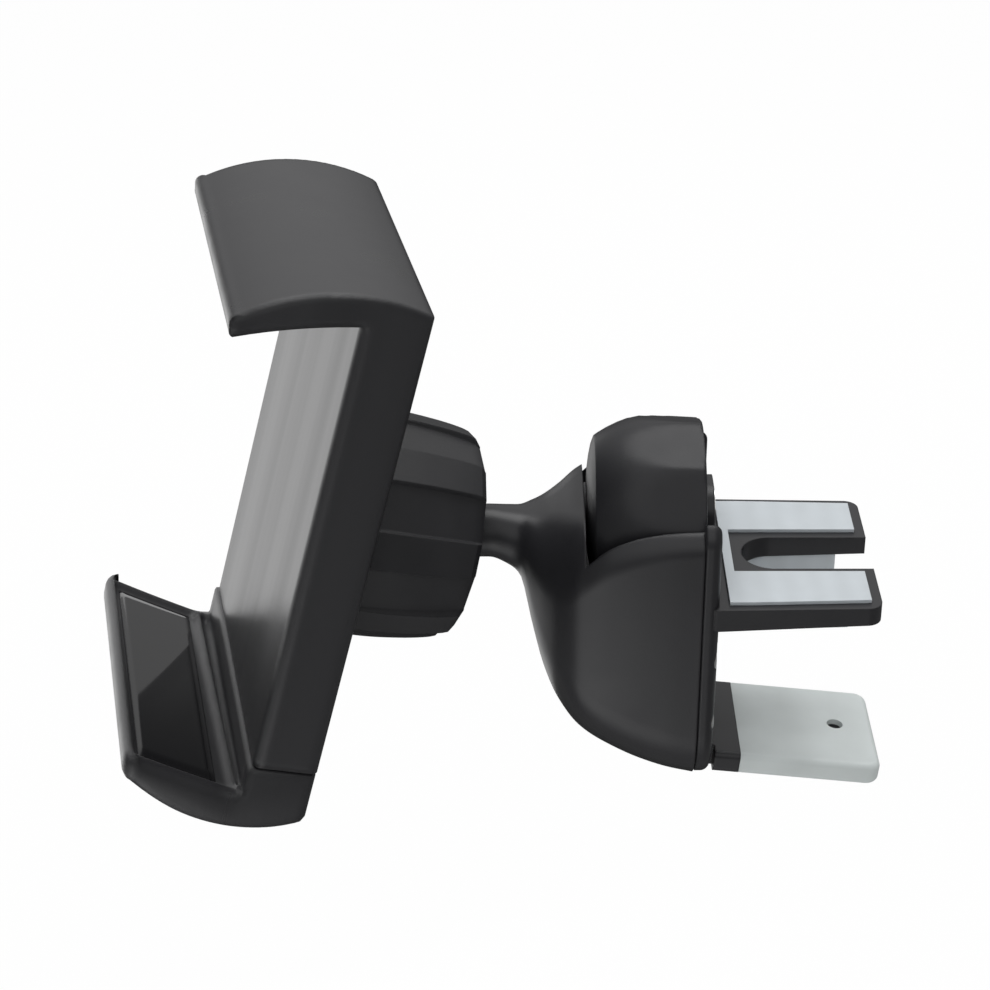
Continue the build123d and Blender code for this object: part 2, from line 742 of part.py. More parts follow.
def make_ball_pad():
    inner = ball_radius + shell_gap
    return Pos(ball_seat) * shell_cap(inner, inner + pad_shell, pad_cap_angle)


def make_ball_cap():
    inner = ball_radius + pad_shell + 2 * shell_gap
    return Pos(ball_seat) * shell_cap(inner, inner + pad_shell, cap_angle)


def collar_ring(radius, x):
    plane = Plane(origin=(x, 0, 0), x_dir=(0, 1, 0), z_dir=(1, 0, 0))
    return plane * RegularPolygon(radius, 2 * collar_ribs, rotation=90 + rib_phase + 180 / (2 * collar_ribs))


def make_collar():
    """Faceted conical locking ring with raised grip ribs."""
    rear = ball_axis_depth + collar_overhang
    front = rear - collar_length
    nose = 1.2
    cone = loft([collar_ring(collar_front_radius, front), collar_ring(collar_back_radius, rear - nose)])
    cone += loft([collar_ring(collar_back_radius, rear - nose), collar_ring(collar_back_radius - nose, rear)])
    slope = math.degrees(math.atan2(collar_front_radius - collar_back_radius, collar_length - nose))
    for n in range(collar_ribs):
        rib = Box(collar_length - nose, rib_width, 2.4)
        rib = fillet(rib.edges().filter_by(Axis.X).sort_by(Axis.Z)[-2:], rib_round)
        mid_r = (collar_front_radius + collar_back_radius) / 2 + rib_rise - 1.2
        place = Pos((front + rear - nose) / 2, 0, mid_r) * Rot(0, slope, 0)
        cone += Rot(rib_phase + n * 360 / collar_ribs, 0, 0) * (place * rib)
    bore = socket_radius + running_gap
    lip_front = ball_axis_depth + socket_lip + 0.2
    cone -= x_cylinder(bore, front - 1, lip_front)
    cone -= x_cylinder(collar_mouth, front - 1, rear + 1)
    relief = Cone(collar_mouth, collar_mouth + 1.2, 1.2, rotation=(0, 90, 0))
    cone -= Pos(rear - 0.6, 0, 0) * relief
    return Pos(0, 0, ball_axis_drop) * cone


def on_cradle(shape):
    """Set a piece, or a list of like pieces, on the ball in the modelled pose."""
    if isinstance(shape, list):
        return [cradle_place * s for s in shape]
    return cradle_place * shape


def save(name, shape):
    if isinstance(shape, list):
        shape = Compound(children=shape)
    export_step(shape, f"parts/{name}.step")


os.makedirs("parts", exist_ok=True)
save("housing", make_housing())
save("rear_fork", make_rear_fork())
save("fork_pad_upper", fork_pad_upper_solid())
save("fork_pad_lower", make_fork_pad_lower())
save("rear_screws", make_rear_screws())
save("knob", make_knob())
save("knob_insert", make_knob_insert())
save("clamp_screw", make_clamp_screw())
save("knob_washer", make_knob_washer())
save("vent_jaw", make_vent_jaw())
save("jaw_sleeve", make_jaw_sleeve())
save("cradle_frame", on_cradle(make_cradle_frame()))
save("back_cover", on_cradle(make_back_cover()))
save("upper_jaw_pad", on_cradle(jaw_pad(upper_reach, upper_inner)))
save("back_screws", on_cradle(make_back_screws()))
save("lower_jaw", on_cradle(make_lower_jaw()))
save("lower_jaw_pad", on_cradle(mirror(jaw_pad(lower_reach, lower_inner), Plane.XY)))
save("spring_left", on_cradle(make_spring(-1)))
save("spring_right", on_cradle(make_spring(1)))
save("ball_socket", on_cradle(make_ball_socket()))
save("socket_screws", on_cradle(make_socket_screws()))
save("ball_pad", on_cradle(make_ball_pad()))
save("ball_cap", on_cradle(make_ball_cap()))
save("collar", on_cradle(make_collar()))
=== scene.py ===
import bpy
import bmesh
import math
from mathutils import Euler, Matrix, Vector


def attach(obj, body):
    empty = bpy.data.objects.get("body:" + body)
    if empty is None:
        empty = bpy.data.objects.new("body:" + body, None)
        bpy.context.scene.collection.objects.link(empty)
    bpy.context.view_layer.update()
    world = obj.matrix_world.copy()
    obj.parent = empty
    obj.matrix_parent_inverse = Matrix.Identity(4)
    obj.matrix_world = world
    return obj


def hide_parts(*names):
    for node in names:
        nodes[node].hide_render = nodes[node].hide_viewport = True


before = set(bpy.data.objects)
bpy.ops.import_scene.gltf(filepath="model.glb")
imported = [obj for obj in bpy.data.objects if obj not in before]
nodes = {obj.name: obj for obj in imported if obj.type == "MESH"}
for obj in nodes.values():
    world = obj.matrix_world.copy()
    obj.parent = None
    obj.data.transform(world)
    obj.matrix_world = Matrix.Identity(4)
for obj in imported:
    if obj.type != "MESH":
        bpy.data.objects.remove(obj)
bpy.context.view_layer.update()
MM = 0.001


# Room, light and camera
# A dim room seen from a little above, with a soft box overhead and a bright
# card low behind the cradle. Soft glows stand above and behind and in front,
# high and low, and the room is darkest low behind the part.

ROOM_BASE = 0.24
# Direction of each glow, inner and outer half-angle in degrees, and its strength
ROOM_GLOWS = [
    ((0.10, 0.62, 0.78), 15.0, 62.0, 0.6),
    ((0.0, 0.86, -0.50), 18.0, 60.0, -0.19),
    ((-0.32, -0.70, -0.64), 5.0, 30.0, 2.2),
    ((-0.10, -0.70, 0.70), 10.0, 46.0, 1.1),
]
WHITE = (1.0, 1.0, 1.0, 1.0)
FLOOR_SIZE = 4.0
FLOOR_LEVEL = -0.11
FLOOR_GREY = (0.8, 0.8, 0.8, 1.0)
# Share of plain white in the floor that the camera sees, the rest is shadow
FLOOR_WHITENESS = 0.93


def new_material(name):
    """An empty node material and its node tree."""
    material = bpy.data.materials.new(name)
    material.use_nodes = True
    material.node_tree.nodes.clear()
    return material, material.node_tree


def add_node(tree, kind, **inputs):
    """A node with values on its own sockets; underscores stand for spaces."""
    node = tree.nodes.new(kind)
    for key, value in inputs.items():
        node.inputs[key.replace("_", " ")].default_value = value
    return node


def room_glow(tree, direction):
    """Brightness of the room in a direction: a dim base, soft glows and a dark stretch behind."""
    links = tree.links
    total = None
    for toward, inner, outer, strength in ROOM_GLOWS:
        turn = tree.nodes.new("ShaderNodeVectorMath")
        turn.operation = "DOT_PRODUCT"
        links.new(direction, turn.inputs[0])
        turn.inputs[1].default_value = Vector(toward).normalized()
        fade = tree.nodes.new("ShaderNodeMapRange")
        fade.interpolation_type = "SMOOTHSTEP"
        fade.inputs["From Min"].default_value = math.cos(math.radians(outer))
        fade.inputs["From Max"].default_value = math.cos(math.radians(inner))
        fade.inputs["To Max"].default_value = strength
        links.new(turn.outputs["Value"], fade.inputs["Value"])
        add = tree.nodes.new("ShaderNodeMath")
        add.inputs[1].default_value = ROOM_BASE
        links.new(fade.outputs["Result"], add.inputs[0])
        if total is not None:
            links.new(total, add.inputs[1])
        total = add.outputs[0]
    return total


def straight_view(tree):
    """The light path, and one for rays that come straight or through glass from the camera."""
    path = tree.nodes.new("ShaderNodeLightPath")
    seen = tree.nodes.new("ShaderNodeMath")
    seen.operation = "MAXIMUM"
    tree.links.new(path.outputs["Is Camera Ray"], seen.inputs[0])
    tree.links.new(path.outputs["Is Transmission Ray"], seen.inputs[1])
    return path, seen.outputs[0]


def make_world():
    """White to the camera, the room with its glows to everything else."""
    world = bpy.data.worlds.new("studio")
    bpy.context.scene.world = world
    world.use_nodes = True
    tree = world.node_tree
    tree.nodes.clear()
    links = tree.links
    out = tree.nodes.new("ShaderNodeOutputWorld")
    coords = tree.nodes.new("ShaderNodeTexCoord")
    glow = add_node(tree, "ShaderNodeBackground", Color=WHITE)
    links.new(room_glow(tree, coords.outputs["Generated"]), glow.inputs["Strength"])
    white = add_node(tree, "ShaderNodeBackground", Color=WHITE, Strength=1.0)
    _, seen = straight_view(tree)
    mix = tree.nodes.new("ShaderNodeMixShader")
    links.new(seen, mix.inputs["Fac"])
    links.new(glow.outputs[0], mix.inputs[1])
    links.new(white.outputs[0], mix.inputs[2])
    links.new(mix.outputs[0], out.inputs["Surface"])


def make_floor():
    """A wide pale floor under the part; it keeps a trace of the part's shadow."""
    bpy.ops.mesh.primitive_plane_add(size=FLOOR_SIZE, location=(0.0, 0.0, FLOOR_LEVEL))
    floor = bpy.context.object
    floor.name = "floor"
    material, tree = new_material("floor_white")
    links = tree.links
    out = tree.nodes.new("ShaderNodeOutputMaterial")
    geometry = tree.nodes.new("ShaderNodeNewGeometry")
    away = tree.nodes.new("ShaderNodeVectorMath")
    away.operation = "SCALE"
    away.inputs["Scale"].default_value = -1.0
    links.new(geometry.outputs["Incoming"], away.inputs[0])
    lit = add_node(tree, "ShaderNodeEmission", Color=WHITE)
    links.new(room_glow(tree, away.outputs[0]), lit.inputs["Strength"])
    matt = add_node(tree, "ShaderNodeBsdfDiffuse", Color=FLOOR_GREY)
    white = add_node(tree, "ShaderNodeEmission", Color=WHITE, Strength=1.0)
    path, seen = straight_view(tree)
    mirrored = tree.nodes.new("ShaderNodeMixShader")
    links.new(path.outputs["Is Glossy Ray"], mirrored.inputs["Fac"])
    links.new(matt.outputs[0], mirrored.inputs[1])
    links.new(lit.outputs[0], mirrored.inputs[2])
    shaded = add_node(tree, "ShaderNodeMixShader", Fac=FLOOR_WHITENESS)
    links.new(matt.outputs[0], shaded.inputs[1])
    links.new(white.outputs[0], shaded.inputs[2])
    mix = tree.nodes.new("ShaderNodeMixShader")
    links.new(seen, mix.inputs["Fac"])
    links.new(mirrored.outputs[0], mix.inputs[1])
    links.new(shaded.outputs[0], mix.inputs[2])
    links.new(mix.outputs[0], out.inputs["Surface"])
    floor.data.materials.append(material)


def area_lamp(name, place, target, size, watts):
    """A rectangular lamp in metres and watts, turned towards its target."""
    lamp = bpy.data.lights.new(name, "AREA")
    lamp.shape = "RECTANGLE"
    lamp.size = size[0]
    lamp.size_y = size[1]
    lamp.energy = watts
    holder = bpy.data.objects.new(name, lamp)
    holder.location = place
    holder.rotation_mode = "QUATERNION"
    holder.rotation_quaternion = (Vector(target) - Vector(place)).to_track_quat("-Z", "Y")
    bpy.context.scene.collection.objects.link(holder)


bpy.context.scene.view_settings.view_transform = "Standard"
make_world()
make_floor()
area_lamp("top_box", place=(0.0, 0.25, 0.75), target=(-0.02, 0.0, 0.0), size=(0.7, 0.5), watts=4.3)
area_lamp("left_card", place=(-0.100, 0.070, -0.025), target=(-0.060, 0.0, 0.005), size=(0.13, 0.13),
          watts=0.062)

# The lens and the place of the camera were worked out from the photograph
LENS = 90.47
CAMERA_PLACE = (-0.02671, -0.24427, 0.14253)
LOOK_DOWN = 29.0
lens_data = bpy.data.cameras.new("camera")
lens_data.lens = LENS
lens_data.sensor_width = 36.0
lens_data.clip_start = 0.01
lens_data.clip_end = 20.0
camera = bpy.data.objects.new("camera", lens_data)
camera.location = CAMERA_PLACE
camera.rotation_euler = (math.radians(90.0 - LOOK_DOWN), 0.0, 0.0)
bpy.context.scene.collection.objects.link(camera)
bpy.context.scene.camera = camera


# Housing: the smooth bell with its neck and ball
# One black moulding, drawn as rounded outlines across the axis that grow from
# the round neck to the rear face, with the knob's pocket cut from the top.

NECK_HEIGHT = 2.6
NECK_START = -34.4
NECK_MIDDLE = -29.0
BALL_RADIUS = 6.0
POCKET_RADIUS = 10.9
POCKET_FRONT = -16.75
KNOB_AXIS = 5.7
# The way out of the pocket is a hair narrower than the pocket, so no two walls lie in one place
WAY_OUT_SHARE = 0.9999
WAY_OUT_HEIGHT = 8.0
CORNER_STEPS = 10
BELL_STEPS = 64
BALL_STEPS = 24
# Station, then half width, top, bottom, upper and lower corner radius
BELL_ROWS = [
    (-34.4, 3.0, 5.6, -0.4, 2.98, 2.98),
    (-27.4, 3.0, 5.6, -0.4, 2.98, 2.98),
    (-25.2, 3.43, 5.4, -1.2, 3.2, 3.2),
    (-23.9, 4.0, 5.3, -2.4, 3.7, 3.7),
    (-22.4, 6.3, 5.4, -8.6, 5.5, 5.5),
    (-21.2, 8.2, 5.65, -13.2, 7.0, 7.0),
    (-19.6, 10.1, 6.3, -17.0, 8.0, 8.3),
    (-17.2, 11.6, 7.3, -20.3, 6.9, 9.3),
    (-14.0, 12.2, 8.1, -22.5, 4.9, 9.4),
    (-10.0, 12.48, 8.5, -24.4, 3.4, 9.2),
    (-6.6, 12.58, 8.65, -25.5, 2.7, 9.0),
    (-4.0, 12.6, 8.7, -26.1, 2.5, 9.0),
]


def smooth_between(rows, x):
    """Values of a table at x, on a smooth curve that never overshoots its rows."""
    n = next(i for i in range(1, len(rows)) if x <= rows[i][0] + 1e-9)
    step = rows[n][0] - rows[n - 1][0]
    t = (x - rows[n - 1][0]) / step
    values = []
    for c in range(1, len(rows[0])):
        rise = [(q[c] - p[c]) / (q[0] - p[0]) for p, q in zip(rows, rows[1:])]
        ends = []
        for i in (n - 1, n):
            before, after = rise[max(i - 1, 0)], rise[min(i, len(rise) - 1)]
            ends.append(2 * before * after / (before + after) if before * after > 0 else 0)
        a, b = rows[n - 1][c], rows[n][c]
        values.append(a * (1 + 2 * t) * (1 - t) ** 2 + b * t * t * (3 - 2 * t)
                      + step * (ends[0] * t * (1 - t) ** 2 - ends[1] * t * t * (1 - t)))
    return values


def rounded_outline(x, half, top, bottom, upper, lower):
    """Closed ring of points across the housing, in millimetres."""
    corners = (
        (half - lower, bottom + lower, lower, -90.0),
        (half - upper, top - upper, upper, 0.0),
        (upper - half, top - upper, upper, 90.0),
        (lower - half, bottom + lower, lower, 180.0),
    )
    ring = []
    for y, z, radius, start in corners:
        for n in range(CORNER_STEPS + 1):
            angle = math.radians(start + 90.0 * n / CORNER_STEPS)
            ring.append((x, y + radius * math.cos(angle), z + radius * math.sin(angle)))
    return ring


def skin(name, rings, closed=False):
    """Mesh through rings of points in millimetres; closed joins the last ring to the first."""
    work = bmesh.new()
    loops = [[work.verts.new(Vector(p) * MM) for p in ring] for ring in rings]
    pairs = list(zip(loops, loops[1:]))
    if closed:
        pairs.append((loops[-1], loops[0]))
    else:
        work.faces.new(loops[0])
        work.faces.new(reversed(loops[-1]))
    for a, b in pairs:
        for n in range(len(a)):
            m = (n + 1) % len(a)
            work.faces.new((a[n], b[n], b[m], a[m]))
    bmesh.ops.recalc_face_normals(work, faces=work.faces)
    mesh = bpy.data.meshes.new(name)
    work.to_mesh(mesh)
    work.free()
    piece = bpy.data.objects.new(name, mesh)
    bpy.context.scene.collection.objects.link(piece)
    return piece


def combine(piece, other, operation):
    """Cut one solid from another or join the two, and drop the second."""
    change = piece.modifiers.new(operation.lower(), "BOOLEAN")
    change.operation = operation
    change.object = other
    change.solver = "EXACT"
    bpy.context.view_layer.objects.active = piece
    bpy.ops.object.modifier_apply(modifier=change.name)
    bpy.data.objects.remove(other)


def smooth(piece, sharp_angle=30.0):
    """Smooth shading, with the edges sharper than the angle left crisp."""
    for face in piece.data.polygons:
        face.use_smooth = True
    piece.data.set_sharp_from_angle(angle=math.radians(sharp_angle))


def round_ring(x, radius, z, count):
    """Ring of points about an axis along X at height z, in millimetres."""
    turns = [2.0 * math.pi * n / count for n in range(count)]
    return [(x, radius * math.sin(t), z + radius * math.cos(t)) for t in turns]


def moulded_plastic(name, colour, roughness, grain, grain_depth, streak=None, edge=0.3, shine=0.5):
    """Injection-moulded plastic: fine grain, slow changes of gloss, edges that look round.

    Streak is a turn and a stretch of the grain, edge the radius of edges in millimetres.
    """
    material, tree = new_material(name)
    links = tree.links
    out = tree.nodes.new("ShaderNodeOutputMaterial")
    shader = add_node(tree, "ShaderNodeBsdfPrincipled", Roughness=roughness, Specular_IOR_Level=shine)
    coords = tree.nodes.new("ShaderNodeTexCoord")
    place = coords.outputs["Object"]
    if streak:
        turned = add_node(tree, "ShaderNodeMapping", Rotation=streak[0], Scale=streak[1])
        turned.vector_type = "TEXTURE"
        links.new(place, turned.inputs["Vector"])
        place = turned.outputs[0]
    fine = add_node(tree, "ShaderNodeTexNoise", Scale=grain, Detail=3.0, Roughness=0.6)
    links.new(place, fine.inputs["Vector"])
    slow = add_node(tree, "ShaderNodeTexNoise", Scale=grain / 30.0, Detail=2.0)
    links.new(place, slow.inputs["Vector"])
    shade = tree.nodes.new("ShaderNodeMix")
    shade.data_type = "RGBA"
    shade.inputs[6].default_value = tuple(c * 0.8 for c in colour) + (1.0,)
    shade.inputs[7].default_value = tuple(c * 1.25 for c in colour) + (1.0,)
    links.new(slow.outputs["Fac"], shade.inputs["Factor"])
    links.new(shade.outputs[2], shader.inputs["Base Color"])
    gloss = tree.nodes.new("ShaderNodeMapRange")
    gloss.inputs["From Min"].default_value = 0.3
    gloss.inputs["From Max"].default_value = 0.7
    gloss.inputs["To Min"].default_value = roughness - 0.03
    gloss.inputs["To Max"].default_value = roughness + 0.04
    links.new(slow.outputs["Fac"], gloss.inputs["Value"])
    links.new(gloss.outputs["Result"], shader.inputs["Roughness"])
    round_edge = add_node(tree, "ShaderNodeBevel", Radius=edge * MM)
    bump = add_node(tree, "ShaderNodeBump", Strength=0.35, Distance=grain_depth)
    links.new(round_edge.outputs[0], bump.inputs["Normal"])
    links.new(fine.outputs["Fac"], bump.inputs["Height"])
    links.new(bump.outputs[0], shader.inputs["Normal"])
    links.new(shader.outputs[0], out.inputs["Surface"])
    return material


def paint(material, *names):
    """Give the named nodes a material."""
    for name in names:
        node = nodes[name]
        node.data.materials.clear()
        node.data.materials.append(material)


def make_bell():
    """Bell and neck through the outlines, less the knob's pocket and its way out, with the ball."""
    first = BELL_ROWS[1][0]
    last = BELL_ROWS[-1][0]
    stations = [NECK_START, NECK_MIDDLE]
    stations += [first + (last - first) * n / BELL_STEPS for n in range(BELL_STEPS + 1)]
    bell = skin("bell", [rounded_outline(x, *smooth_between(BELL_ROWS, x)) for x in stations])
    cut = (POCKET_FRONT, last + 1.0)
    pocket = [round_ring(x, POCKET_RADIUS, KNOB_AXIS, 128) for x in cut]
    combine(bell, skin("pocket", pocket), "DIFFERENCE")
    r = POCKET_RADIUS * WAY_OUT_SHARE
    high = KNOB_AXIS + WAY_OUT_HEIGHT
    way = [[(x, -r, KNOB_AXIS), (x, r, KNOB_AXIS), (x, r, high), (x, -r, high)] for x in cut]
    combine(bell, skin("way_out", way), "DIFFERENCE")
    ball = []
    for n in range(BALL_STEPS + 1):
        turn = math.pi * n / BALL_STEPS
        radius = max(BALL_RADIUS * math.sin(turn), 0.01)
        ball.append(round_ring(NECK_START - BALL_RADIUS * math.cos(turn), radius, NECK_HEIGHT, 64))
    combine(bell, skin("ball", ball), "UNION")
    smooth(bell)
    return bell


black = (0.016, 0.016, 0.018)
housing_black = moulded_plastic("housing_black", black, roughness=0.36, grain=5000.0, grain_depth=0.00002,
                                shine=0.32)
bell = make_bell()
bell.data.materials.append(housing_black)
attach(bell, "holder")
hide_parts("housing")


# Rear plate with its fork, the two pale pads and the four screws
# The plate and the fork are one black moulding. The pads are pale silicone,
# the screws bright steel.

def brushed_metal(name, colour, roughness):
    """Metal with turning marks: fine stretched noise in the gloss and the surface."""
    material, tree = new_material(name)
    links = tree.links
    out = tree.nodes.new("ShaderNodeOutputMaterial")
    shader = add_node(tree, "ShaderNodeBsdfPrincipled", Base_Color=colour + (1.0,), Metallic=1.0)
    coords = tree.nodes.new("ShaderNodeTexCoord")
    stretch = add_node(tree, "ShaderNodeMapping", Scale=(9000.0, 900.0, 900.0))
    links.new(coords.outputs["Object"], stretch.inputs["Vector"])
    marks = add_node(tree, "ShaderNodeTexNoise", Scale=1.0, Detail=2.0)
    links.new(stretch.outputs[0], marks.inputs["Vector"])
    gloss = tree.nodes.new("ShaderNodeMapRange")
    gloss.inputs["To Min"].default_value = roughness - 0.06
    gloss.inputs["To Max"].default_value = roughness + 0.1
    links.new(marks.outputs["Fac"], gloss.inputs["Value"])
    links.new(gloss.outputs["Result"], shader.inputs["Roughness"])
    bump = add_node(tree, "ShaderNodeBump", Strength=0.2, Distance=0.00001)
    links.new(marks.outputs["Fac"], bump.inputs["Height"])
    links.new(bump.outputs[0], shader.inputs["Normal"])
    links.new(shader.outputs[0], out.inputs["Surface"])
    return material


def silicone(name, colour, wave_scale):
    """Pale silicone: a soft sheen, faint moulding waves across it and a cloudy shade."""
    material, tree = new_material(name)
    links = tree.links
    out = tree.nodes.new("ShaderNodeOutputMaterial")
    shader = add_node(tree, "ShaderNodeBsdfPrincipled", Roughness=0.42, Subsurface_Weight=0.15,
                      Subsurface_Radius=(0.002, 0.002, 0.002), Subsurface_Scale=1.0)
    coords = tree.nodes.new("ShaderNodeTexCoord")
    cloud = add_node(tree, "ShaderNodeTexNoise", Scale=260.0, Detail=3.0)
    links.new(coords.outputs["Object"], cloud.inputs["Vector"])
    wave = add_node(tree, "ShaderNodeTexWave", Scale=wave_scale, Distortion=1.2, Detail=1.0)
    links.new(coords.outputs["Object"], wave.inputs["Vector"])
    blend = tree.nodes.new("ShaderNodeMath")
    blend.operation = "MULTIPLY_ADD"
    blend.inputs[1].default_value = 0.35
    links.new(wave.outputs["Fac"], blend.inputs[0])
    links.new(cloud.outputs["Fac"], blend.inputs[2])
    shade = tree.nodes.new("ShaderNodeMix")
    shade.data_type = "RGBA"
    shade.inputs[6].default_value = tuple(c * 0.93 for c in colour) + (1.0,)
    shade.inputs[7].default_value = tuple(min(c * 1.06, 0.9) for c in colour) + (1.0,)
    links.new(blend.outputs[0], shade.inputs["Factor"])
    links.new(shade.outputs[2], shader.inputs["Base Color"])
    bump = add_node(tree, "ShaderNodeBump", Strength=0.3, Distance=0.00003)
    links.new(blend.outputs[0], bump.inputs["Height"])
    links.new(bump.outputs[0], shader.inputs["Normal"])
    links.new(shader.outputs[0], out.inputs["Surface"])
    return material


rubber_grey = silicone("rubber_grey", (0.45, 0.485, 0.51), 105.0)
steel = brushed_metal("steel", (0.62, 0.62, 0.61), 0.28)
paint(housing_black, "rear_fork")
paint(rubber_grey, "fork_pad_upper", "fork_pad_lower")
paint(steel, "rear_screws")


# Knob, its brass insert, its washer and the clamp screw
# A round black knob with a shallow domed face and nine soft flats round its
# edge. It turns on the steel screw that runs through it.

KNOB_FLATS = 9
KNOB_FLAT_TURN = -1.5
KNOB_FLAT_REAR = 9.72
KNOB_FLAT_LEAN = 0.05
KNOB_REAR = -3.6
KNOB_STEPS = 20
# Name, radius, front and number of sides of each round hole along the knob's axis; all run out at the rear
KNOB_HOLES = [("bore", 1.7, -20.0, 48), ("seat", 3.0, -9.6, 48), ("relief", 5.4, -4.0, 64)]
# Station and radius round the washer's section
WASHER_ROWS = [(-16.73, 1.6), (-16.73, 2.7), (-16.47, 2.7), (-16.47, 1.6)]
# Station and radius, from the middle of the face round the rim to the rear
KNOB_ROWS = [
    (-16.45, 3.2), (-16.38, 4.6), (-16.2, 6.0), (-15.95, 7.2), (-15.65, 8.0), (-15.2, 8.32), (-14.2, 8.92),
    (-13.0, 9.5), (-11.9, 9.92), (-10.5, 10.25), (-9.0, 10.4), (-7.0, 10.45), (-4.3, 10.4), (-3.9, 10.25),
    (-3.68, 9.9), (-3.6, 9.4),
]


def knob_ring(x, radius):
    """Ring of the knob, pressed flat where the nine flats are."""
    count = KNOB_STEPS * KNOB_FLATS
    apothem = KNOB_FLAT_REAR + (KNOB_REAR - x) * KNOB_FLAT_LEAN
    ring = []
    for n in range(count):
        turn = 360.0 * n / count
        off = (turn - KNOB_FLAT_TURN) % (360.0 / KNOB_FLATS) - 180.0 / KNOB_FLATS
        flat = apothem / math.cos(math.radians(off))
        r = min(radius, flat)
        angle = math.radians(turn)
        ring.append((x, -r * math.sin(angle), KNOB_AXIS + r * math.cos(angle)))
    return ring


def make_knob():
    """Knob closed at both ends, less its holes for the screw, the insert and the carriage's arms."""
    rows = [(KNOB_ROWS[0][0], 0.02)] + KNOB_ROWS + [(KNOB_REAR, 0.02)]
    knob = skin("knob_body", [knob_ring(x, r) for x, r in rows])
    for name, radius, front, count in KNOB_HOLES:
        hole = skin(name, [round_ring(x, radius, KNOB_AXIS, count) for x in (front, 0.0)])
        combine(knob, hole, "DIFFERENCE")
    smooth(knob, 24.0)
    return knob


knob_black = moulded_plastic("knob_black", black, roughness=0.40, grain=5000.0, grain_depth=0.00003,
                             shine=0.25)
knob = make_knob()
knob.data.materials.append(knob_black)
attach(knob, "knob")
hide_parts("knob")

washer = skin("washer", [round_ring(x, r, KNOB_AXIS, 64) for x, r in WASHER_ROWS], closed=True)
smooth(washer)
washer.data.materials.append(knob_black)
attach(washer, "holder")
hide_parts("knob_washer")

brass = brushed_metal("brass", (0.72, 0.53, 0.26), 0.3)
paint(brass, "knob_insert")
paint(steel, "clamp_screw")


# Sliding vent jaw and its sleeve
# One black moulding of carriage, arms and tab, held in the housing's guides,
# with the pale silicone sleeve pulled over the tab.

sleeve_grey = silicone("sleeve_grey", (0.53, 0.57, 0.565), 40.0)
paint(housing_black, "vent_jaw")
paint(sleeve_grey, "jaw_sleeve")


# Ball liners, the slit cup and its screws
# The cup is black like the collar and is screwed to the cradle from inside.
# The two thin liners round the ball are pale and slippery.

collar_black = moulded_plastic("collar_black", black, roughness=0.44, grain=6000.0, grain_depth=0.00003,
                               shine=0.35)
liner_pale = moulded_plastic("liner_pale", (0.62, 0.62, 0.58), roughness=0.22, grain=3000.0,
                             grain_depth=0.000006)
paint(collar_black, "ball_socket")
paint(liner_pale, "ball_pad", "ball_cap")
paint(steel, "socket_screws")


# Locking collar
# Black ring that narrows towards the ball in a soft curve, with eight raised
# grips. It screws over the slit cup and squeezes it on the ball.

CRADLE_TURN = Euler((math.radians(-1.95), math.radians(14.85), math.radians(10.3)), "XYZ")
BALL_DEPTH = 17.8
BALL_DROP = -2.6
COLLAR_FRONT = 9.0
COLLAR_LENGTH = 12.4
COLLAR_GRIPS = 8
GRIP_PHASE = 33.0
GRIP_HALF = 9.5
GRIP_FLANK = 1.0
FACET_HALF = 12.0
COLLAR_STEPS = 18
RING_POINTS = 8 * COLLAR_GRIPS
# Radii of the collar's inside: at its wide end, at the lip, in the lip and behind it
COLLAR_MOUTH = 9.4
LIP_OUTER = 8.0
LIP_INNER = 6.9
THREAD_ROOM = 9.36
# Share of the length, then the radius of the low facets and the grips' rise
COLLAR_ROWS = [
    (0.0, 12.25, 0.5), (0.3, 12.1, 0.6), (0.6, 11.75, 0.65), (0.85, 11.25, 0.7), (0.95, 10.95, 0.65),
    (1.0, 10.5, 0.25),
]


def cradle_point(x, y, z):
    """Point of the cradle's own upright frame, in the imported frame, in millimetres."""
    local = Vector((x - BALL_DEPTH, y, z - BALL_DROP))
    local.rotate(CRADLE_TURN)
    return local + Vector((NECK_START, 0.0, NECK_HEIGHT))


def collar_ring(x, low, rise):
    """Ring of the collar's outside: flat facets, every second one raised."""
    step = 360.0 / COLLAR_GRIPS
    half_flank = GRIP_FLANK / 2
    offsets = (-GRIP_HALF - GRIP_FLANK, -GRIP_HALF - half_flank, -GRIP_HALF, 0.0, GRIP_HALF,
               GRIP_HALF + half_flank, GRIP_HALF + GRIP_FLANK, step / 2)
    ring = []
    for n in range(COLLAR_GRIPS):
        for off in offsets:
            away = abs(off) - GRIP_HALF
            lift = 1.0 if away <= 0.0 else 0.5 if away <= half_flank else 0.0
            flat = off if away <= 0.0 else off - math.copysign(step / 2, off)
            radius = (low + rise * lift) / math.cos(math.radians(min(abs(flat), FACET_HALF)))
            angle = math.radians(GRIP_PHASE + n * step + off)
            ring.append(cradle_point(x, -radius * math.sin(angle), BALL_DROP + radius * math.cos(angle)))
    return ring


def cradle_ring(x, radius):
    """Round ring of the collar's inside, with as many points as its outside."""
    turns = [2.0 * math.pi * n / RING_POINTS for n in range(RING_POINTS)]
    return [cradle_point(x, -radius * math.sin(t), BALL_DROP + radius * math.cos(t)) for t in turns]


def make_collar():
    """From the wide mouth along the outside to the narrow end, round its lip and back inside."""
    rings = [cradle_ring(COLLAR_FRONT, COLLAR_MOUTH)]
    for n in range(COLLAR_STEPS + 1):
        share = n / COLLAR_STEPS
        low, rise = smooth_between(COLLAR_ROWS, share)
        rings.append(collar_ring(COLLAR_FRONT + share * COLLAR_LENGTH, low, rise))
    rear = COLLAR_FRONT + COLLAR_LENGTH
    rings.append(cradle_ring(rear, LIP_OUTER))
    rings.append(cradle_ring(rear - 1.1, LIP_INNER))
    rings.append(cradle_ring(rear - 1.2, THREAD_ROOM))
    collar = skin("lock_collar", rings, closed=True)
    smooth(collar, 22.0)
    return collar


